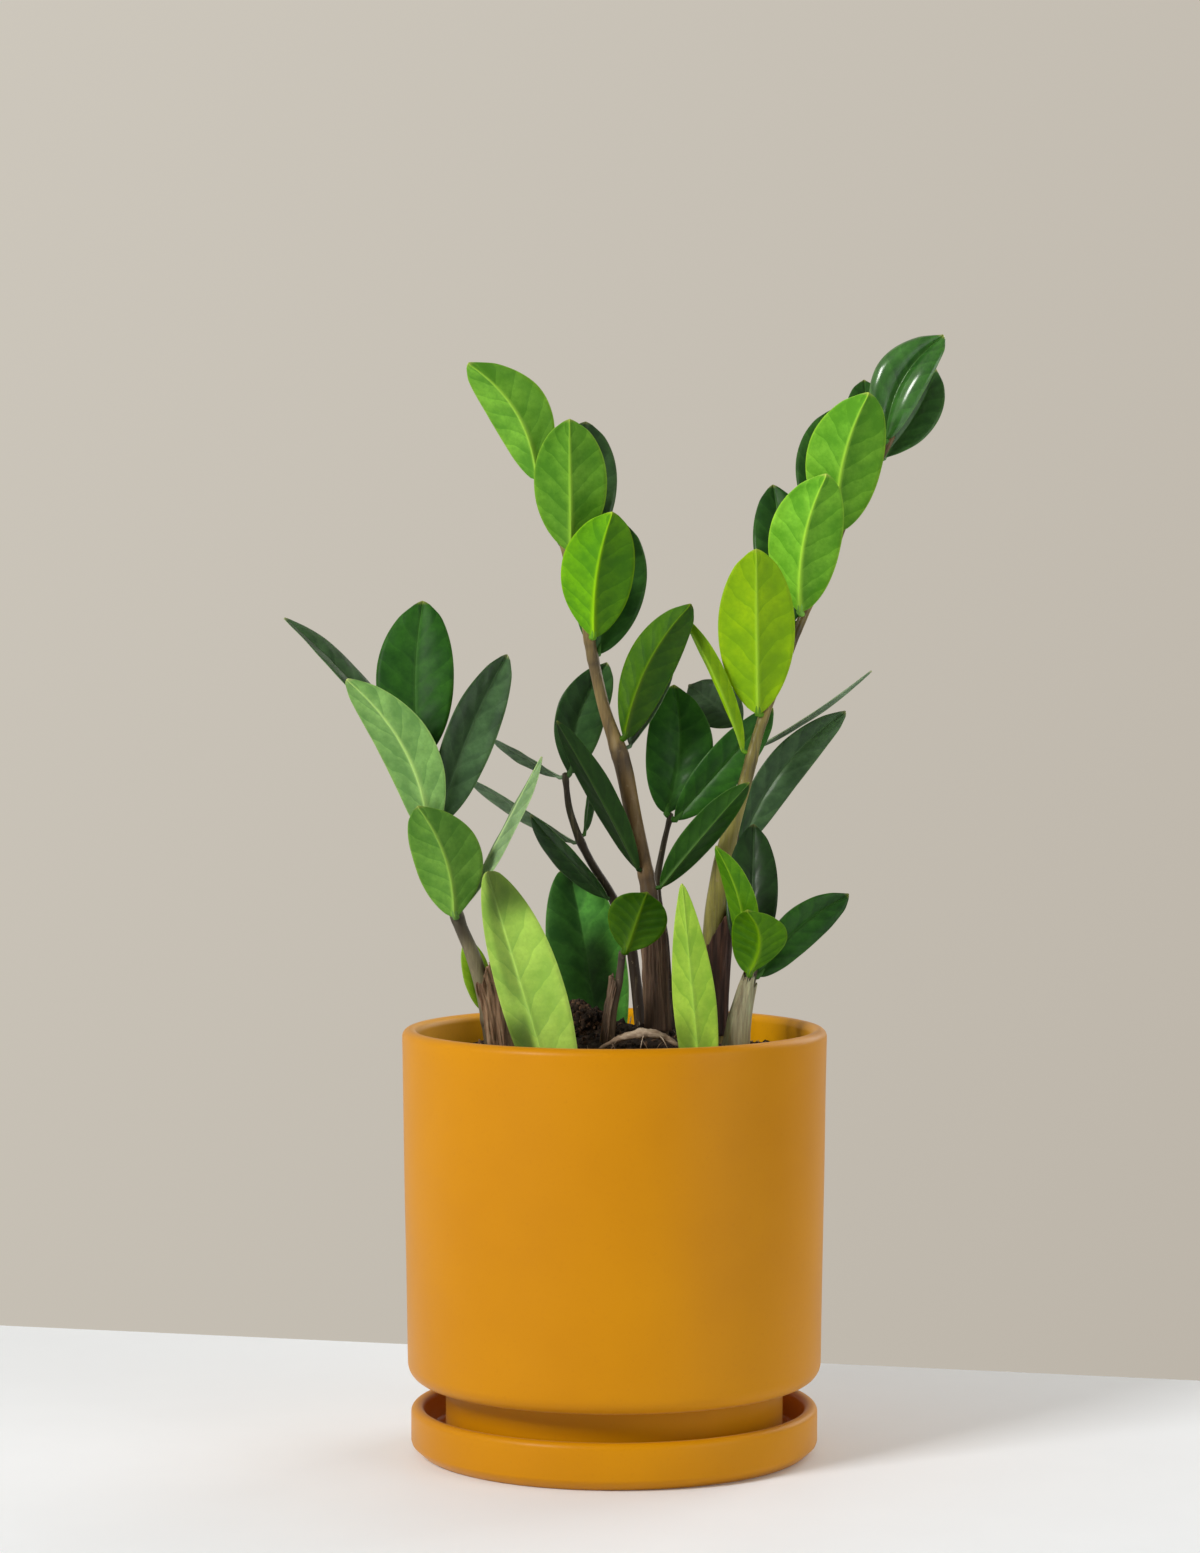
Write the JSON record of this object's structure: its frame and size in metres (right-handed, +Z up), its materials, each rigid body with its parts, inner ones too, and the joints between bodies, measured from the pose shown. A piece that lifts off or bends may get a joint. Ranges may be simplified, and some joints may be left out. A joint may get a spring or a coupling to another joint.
{
  "type": "potted zz plant",
  "caption": "Young zz plant with leafy upright stems in a cylindrical mustard-glazed pot that stands on its own saucer",
  "frame": {"origin": "On the pot's axis, at the level of the surface that the saucer stands on", "axes": "+Z up along the pot's axis; -Y towards the side the plant is seen from; +X to the right of that side"},
  "size_m": [0.1973, 0.127, 0.3336],
  "materials": {
    "glaze": "matte mustard glaze",
    "soil": "damp dark potting soil, rough and crumbly",
    "root": "bare dry root, fibrous",
    "stem": "fleshy green-brown stem skin",
    "dark_stem": "dark woody stem skin",
    "sheath": "dry brown papery sheath, ribbed",
    "pale_sheath": "grey-green papery sheath",
    "young_leaf": "thin bright yellow-green leaflet, satin",
    "light_leaf": "mid-green leaflet with a matte underside",
    "dark_leaf": "dark green waxy leaflet, glossy upper side"
  },
  "bodies": {
    "root": {"leaf_back_1": "dark_leaf", "leaf_back_2": "dark_leaf", "leaf_back_3": "dark_leaf", "leaf_back_4": "dark_leaf", "leaf_back_5": "dark_leaf", "leaf_branch_1": "dark_leaf", "leaf_branch_2": "dark_leaf", "leaf_front": "light_leaf", "leaf_left_1": "light_leaf", "leaf_left_2": "light_leaf", "leaf_left_3": "dark_leaf", "leaf_left_4": "dark_leaf", "leaf_left_5": "dark_leaf", "leaf_left_6": "light_leaf", "leaf_left_7": "young_leaf", "leaf_low_back": "dark_leaf", "leaf_low_left": "young_leaf", "leaf_low_right": "young_leaf", "leaf_middle_1": "light_leaf", "leaf_middle_2": "light_leaf", "leaf_middle_3": "dark_leaf", "leaf_middle_4": "light_leaf", "leaf_middle_5": "dark_leaf", "leaf_middle_6": "light_leaf", "leaf_middle_7": "dark_leaf", "leaf_middle_8": "dark_leaf", "leaf_middle_9": "dark_leaf", "leaf_right_1": "young_leaf", "leaf_right_2": "light_leaf", "leaf_right_3": "light_leaf", "leaf_right_4": "dark_leaf", "leaf_right_5": "dark_leaf", "leaf_right_6": "dark_leaf", "leaf_right_7": "dark_leaf", "leaf_right_8": "dark_leaf", "leaf_right_9": "young_leaf", "leaf_right_back_1": "dark_leaf", "leaf_right_back_2": "dark_leaf", "leaf_right_back_3": "dark_leaf", "leaf_shoot_1": "dark_leaf", "leaf_shoot_2": "light_leaf", "leaf_shoot_3": "light_leaf", "leaf_shoot_4": "dark_leaf", "pot": "glaze", "root": "root", "saucer": "glaze", "sheath_front": "sheath", "sheath_left": "sheath", "sheath_middle": "sheath", "sheath_right": "sheath", "sheath_shoot": "pale_sheath", "shoot_front": "dark_stem", "shoot_right": "dark_stem", "soil": "soil", "stem_back": "dark_stem", "stem_branch": "dark_stem", "stem_left": "stem", "stem_middle": "stem", "stem_right": "stem", "stem_right_back": "dark_stem"}
  },
  "joints": []
}
